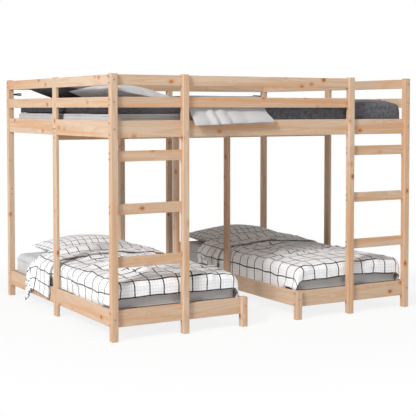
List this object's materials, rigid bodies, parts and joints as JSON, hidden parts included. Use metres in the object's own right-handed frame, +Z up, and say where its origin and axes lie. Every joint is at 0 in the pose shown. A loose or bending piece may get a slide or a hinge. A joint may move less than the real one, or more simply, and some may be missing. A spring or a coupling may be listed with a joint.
{
  "type": "bunk bed",
  "caption": "Solid-pine bunk bed with a wide upper deck behind guard rails over single lower beds, a flat-rung ladder at each front end, with mattresses and bedding.",
  "frame": {"origin": "on the floor, at the centre of the outline of the four corner posts", "axes": "+X along the front from its left end to its right end, +Y from the front to the back, +Z up"},
  "size_m": [2.065, 1.682, 1.445],
  "materials": {
    "pine": "solid pine, clear, matte",
    "slat_pine": "sawn pine, untreated",
    "bolt_steel": "zinc-plated steel",
    "strap_black": "black webbing and plate",
    "mattress_ticking": "plain woven ticking",
    "grid_cotton": "woven cotton, white with a black window-pane grid",
    "charcoal_cotton": "plain woven cotton",
    "pale_cotton": "plain woven cotton"
  },
  "bodies": {
    "root": {"connecting_bolts": "bolt_steel", "corner_post_back_left": "pine", "corner_post_back_right": "pine", "corner_post_front_left": "pine", "corner_post_front_right": "pine", "deck_beam_cap": "pine", "deck_beam_web": "pine", "deck_prop_left": "pine", "deck_prop_right": "pine", "foot_post_left": "pine", "foot_post_right": "pine", "grid_pillow_left": "grid_cotton", "grid_pillow_right": "grid_cotton", "guard_back_lower": "pine", "guard_back_top": "pine", "guard_front_lower": "pine", "guard_front_top": "pine", "guard_left_lower": "pine", "guard_left_top": "pine", "guard_right_lower": "pine", "guard_right_top": "pine", "inner_back_post_left": "pine", "inner_back_post_right": "pine", "ladder_post_left": "pine", "ladder_post_right": "pine", "ladder_rungs_left": "pine", "ladder_rungs_right": "pine", "light_pillow": "pale_cotton", "lower_back_rail_left": "pine", "lower_back_rail_right": "pine", "lower_duvet_left": "grid_cotton", "lower_duvet_right": "grid_cotton", "lower_front_rail_left": "pine", "lower_front_rail_right": "pine", "lower_inner_rail_left": "pine", "lower_inner_rail_right": "pine", "lower_mattress_left": "mattress_ticking", "lower_mattress_right": "mattress_ticking", "lower_outer_rail_left": "pine", "lower_outer_rail_right": "pine", "lower_slats_left": "slat_pine", "lower_slats_right": "slat_pine", "side_upright_left": "pine", "side_upright_right": "pine", "slat_cleats": "slat_pine", "upper_back_rail": "pine", "upper_blanket": "pale_cotton", "upper_duvet_back": "charcoal_cotton", "upper_duvet_front": "charcoal_cotton", "upper_front_rail": "pine", "upper_left_rail": "pine", "upper_mattress_back": "mattress_ticking", "upper_mattress_front": "mattress_ticking", "upper_pillow_back": "charcoal_cotton", "upper_right_rail": "pine", "upper_slats": "slat_pine", "wall_straps": "strap_black"}
  },
  "joints": []
}
